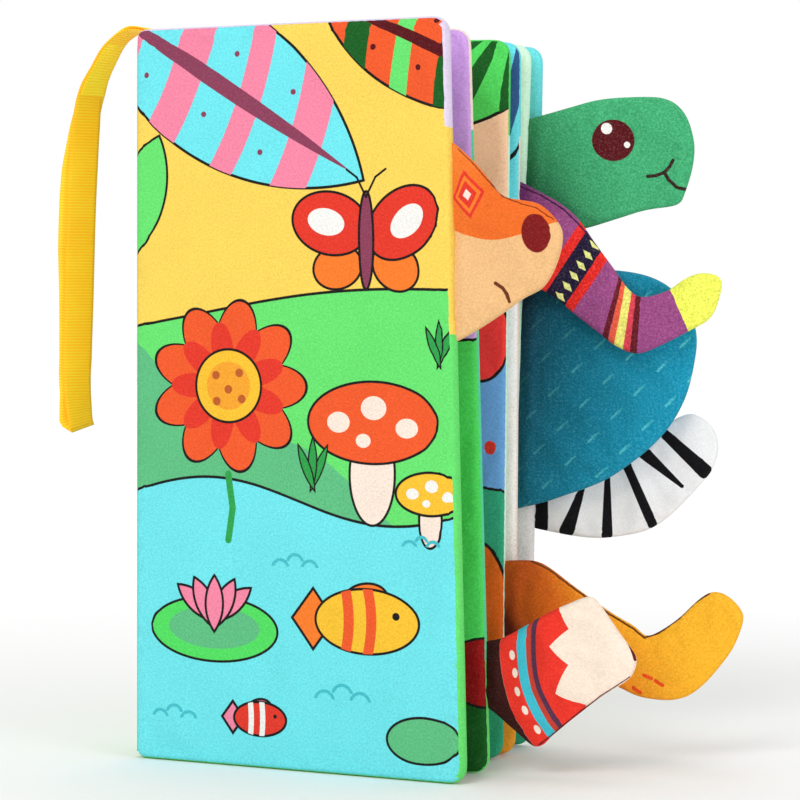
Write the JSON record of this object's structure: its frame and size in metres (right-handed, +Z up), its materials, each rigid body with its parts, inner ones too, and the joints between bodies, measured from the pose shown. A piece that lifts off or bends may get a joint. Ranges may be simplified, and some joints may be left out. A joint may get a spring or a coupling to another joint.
{
  "type": "crinkle cloth book",
  "caption": "Padded crinkle cloth book standing half open on its lower edges, with soft shaped flaps sewn in the fore-edges and a ribbon loop at the spine",
  "frame": {"origin": "middle of the footprint, on the surface that the book stands on", "axes": "+X from the spine to the fore-edges, +Y from the front cover to the back cover, +Z up"},
  "size_m": [0.2202, 0.0872, 0.2339],
  "materials": {
    "front_cover_front_panel": "printed brushed polyester cloth",
    "front_cover_back_panel": "printed brushed polyester cloth",
    "front_cover_wadding": "soft polyester wadding",
    "front_cover_crinkle_film": "thin crackling film",
    "leaf_1_front_panel": "printed brushed polyester cloth",
    "leaf_1_back_panel": "printed brushed polyester cloth",
    "leaf_1_wadding": "soft polyester wadding",
    "leaf_1_crinkle_film": "thin crackling film",
    "leaf_2_front_panel": "printed brushed polyester cloth",
    "leaf_2_back_panel": "printed brushed polyester cloth",
    "leaf_2_wadding": "soft polyester wadding",
    "leaf_2_crinkle_film": "thin crackling film",
    "leaf_3_front_panel": "printed brushed polyester cloth",
    "leaf_3_back_panel": "printed brushed polyester cloth",
    "leaf_3_wadding": "soft polyester wadding",
    "leaf_3_crinkle_film": "thin crackling film",
    "leaf_4_front_panel": "printed brushed polyester cloth",
    "leaf_4_back_panel": "printed brushed polyester cloth",
    "leaf_4_wadding": "soft polyester wadding",
    "leaf_4_crinkle_film": "thin crackling film",
    "back_cover_front_panel": "printed brushed polyester cloth",
    "back_cover_back_panel": "printed brushed polyester cloth",
    "back_cover_wadding": "soft polyester wadding",
    "back_cover_crinkle_film": "thin crackling film",
    "pointed_head_flap_front": "printed brushed polyester cloth",
    "pointed_head_flap_back": "printed brushed polyester cloth",
    "pointed_head_flap_filling": "soft polyester filling",
    "red_tail_flap_front": "printed brushed polyester cloth",
    "red_tail_flap_back": "printed brushed polyester cloth",
    "red_tail_flap_filling": "soft polyester filling",
    "orange_tail_flap_front": "printed brushed polyester cloth",
    "orange_tail_flap_back": "printed brushed polyester cloth",
    "orange_tail_flap_filling": "soft polyester filling",
    "banded_tail_flap_front": "printed brushed polyester cloth",
    "banded_tail_flap_back": "printed brushed polyester cloth",
    "banded_tail_flap_filling": "soft polyester filling",
    "round_head_flap_front": "printed brushed polyester cloth",
    "round_head_flap_back": "printed brushed polyester cloth",
    "round_head_flap_filling": "soft polyester filling",
    "shell_flap_front": "printed brushed polyester cloth",
    "shell_flap_back": "printed brushed polyester cloth",
    "shell_flap_filling": "soft polyester filling",
    "striped_tail_flap_front": "printed brushed polyester cloth",
    "striped_tail_flap_back": "printed brushed polyester cloth",
    "striped_tail_flap_filling": "soft polyester filling",
    "spine_strip": "plain cloth",
    "spine_thread": "sewing thread",
    "ribbon_loop": "ribbed grosgrain ribbon"
  },
  "bodies": {
    "front_cover": {"front_cover_front_panel": "front_cover_front_panel", "front_cover_back_panel": "front_cover_back_panel", "front_cover_wadding": "front_cover_wadding", "front_cover_crinkle_film": "front_cover_crinkle_film"},
    "leaf_1": {"leaf_1_front_panel": "leaf_1_front_panel", "leaf_1_back_panel": "leaf_1_back_panel", "leaf_1_wadding": "leaf_1_wadding", "leaf_1_crinkle_film": "leaf_1_crinkle_film"},
    "leaf_2": {"leaf_2_front_panel": "leaf_2_front_panel", "leaf_2_back_panel": "leaf_2_back_panel", "leaf_2_wadding": "leaf_2_wadding", "leaf_2_crinkle_film": "leaf_2_crinkle_film"},
    "leaf_3": {"leaf_3_front_panel": "leaf_3_front_panel", "leaf_3_back_panel": "leaf_3_back_panel", "leaf_3_wadding": "leaf_3_wadding", "leaf_3_crinkle_film": "leaf_3_crinkle_film", "spine_strip": "spine_strip", "spine_thread": "spine_thread"},
    "leaf_4": {"leaf_4_front_panel": "leaf_4_front_panel", "leaf_4_back_panel": "leaf_4_back_panel", "leaf_4_wadding": "leaf_4_wadding", "leaf_4_crinkle_film": "leaf_4_crinkle_film"},
    "back_cover": {"back_cover_front_panel": "back_cover_front_panel", "back_cover_back_panel": "back_cover_back_panel", "back_cover_wadding": "back_cover_wadding", "back_cover_crinkle_film": "back_cover_crinkle_film"},
    "pointed_head_flap": {"pointed_head_flap_front": "pointed_head_flap_front", "pointed_head_flap_back": "pointed_head_flap_back", "pointed_head_flap_filling": "pointed_head_flap_filling"},
    "red_tail_flap": {"red_tail_flap_front": "red_tail_flap_front", "red_tail_flap_back": "red_tail_flap_back", "red_tail_flap_filling": "red_tail_flap_filling"},
    "orange_tail_flap": {"orange_tail_flap_front": "orange_tail_flap_front", "orange_tail_flap_back": "orange_tail_flap_back", "orange_tail_flap_filling": "orange_tail_flap_filling"},
    "banded_tail_flap": {"banded_tail_flap_front": "banded_tail_flap_front", "banded_tail_flap_back": "banded_tail_flap_back", "banded_tail_flap_filling": "banded_tail_flap_filling"},
    "round_head_flap": {"round_head_flap_front": "round_head_flap_front", "round_head_flap_back": "round_head_flap_back", "round_head_flap_filling": "round_head_flap_filling"},
    "shell_flap": {"shell_flap_front": "shell_flap_front", "shell_flap_back": "shell_flap_back", "shell_flap_filling": "shell_flap_filling"},
    "striped_tail_flap": {"striped_tail_flap_front": "striped_tail_flap_front", "striped_tail_flap_back": "striped_tail_flap_back", "striped_tail_flap_filling": "striped_tail_flap_filling"},
    "ribbon": {"ribbon_loop": "ribbon_loop"}
  },
  "joints": [
    {"name": "front_cover_hinge", "type": "hinge", "parent": "leaf_1", "child": "front_cover", "pos_m": [-0.07691, 0.01585, 0], "axis": [0, 0, -1], "range_deg": [-6.6, 108.4], "deforming": ["spine_strip", "ribbon_loop"]},
    {"name": "leaf_1_hinge", "type": "hinge", "parent": "leaf_2", "child": "leaf_1", "pos_m": [-0.07186, 0.02006, 0], "axis": [0, 0, 1], "range_deg": [-105, 10], "deforming": ["spine_strip", "ribbon_loop"]},
    {"name": "leaf_2_hinge", "type": "hinge", "parent": "leaf_3", "child": "leaf_2", "pos_m": [-0.06762, 0.02508, 0], "axis": [0, 0, -1], "range_deg": [-1.5, 113.5], "deforming": ["spine_strip", "ribbon_loop"]},
    {"name": "leaf_4_hinge", "type": "hinge", "parent": "leaf_3", "child": "leaf_4", "pos_m": [-0.06351, 0.03021, 0], "axis": [0, 0, -1], "range_deg": [-113.5, 1.5], "deforming": ["spine_strip", "ribbon_loop"]},
    {"name": "back_cover_hinge", "type": "hinge", "parent": "leaf_4", "child": "back_cover", "pos_m": [-0.05953, 0.03544, 0], "axis": [0, 0, 1], "range_deg": [-1.5, 113.5], "deforming": ["spine_strip", "ribbon_loop"]},
    {"name": "pointed_head_flap_hinge", "type": "hinge", "parent": "front_cover", "child": "pointed_head_flap", "pos_m": [0.01961, -0.02932, 0], "axis": [0, 0, 1], "range_deg": [-60, 60]},
    {"name": "red_tail_flap_hinge", "type": "hinge", "parent": "leaf_1", "child": "red_tail_flap", "pos_m": [0.02996, -0.01395, 0], "axis": [0, 0, -1], "range_deg": [-25, 60]},
    {"name": "orange_tail_flap_hinge", "type": "hinge", "parent": "leaf_2", "child": "orange_tail_flap", "pos_m": [0.03633, 0.00954, 0], "axis": [0, 0, 1], "range_deg": [-20, 8]},
    {"name": "banded_tail_flap_hinge", "type": "hinge", "parent": "leaf_3", "child": "banded_tail_flap", "pos_m": [0.04133, 0.01735, 0], "axis": [0, 0, 1], "range_deg": [-60, 5]},
    {"name": "round_head_flap_hinge", "type": "hinge", "parent": "leaf_4", "child": "round_head_flap", "pos_m": [0.04421, 0.02543, 0], "axis": [0, 0, 1], "range_deg": [-5, 8]},
    {"name": "shell_flap_hinge", "type": "hinge", "parent": "leaf_4", "child": "shell_flap", "pos_m": [0.0416, 0.02561, 0], "axis": [0, 0, 1], "range_deg": [-5, 5]},
    {"name": "striped_tail_flap_hinge", "type": "hinge", "parent": "back_cover", "child": "striped_tail_flap", "pos_m": [0.04734, 0.03353, 0], "axis": [0, 0, 1], "range_deg": [-5, 60]},
    {"name": "ribbon_hinge", "type": "hinge", "parent": "leaf_3", "child": "ribbon", "pos_m": [-0.06656, 0.02774, 0.2278], "axis": [0, 1, 0], "range_deg": [-8, 150]}
  ]
}
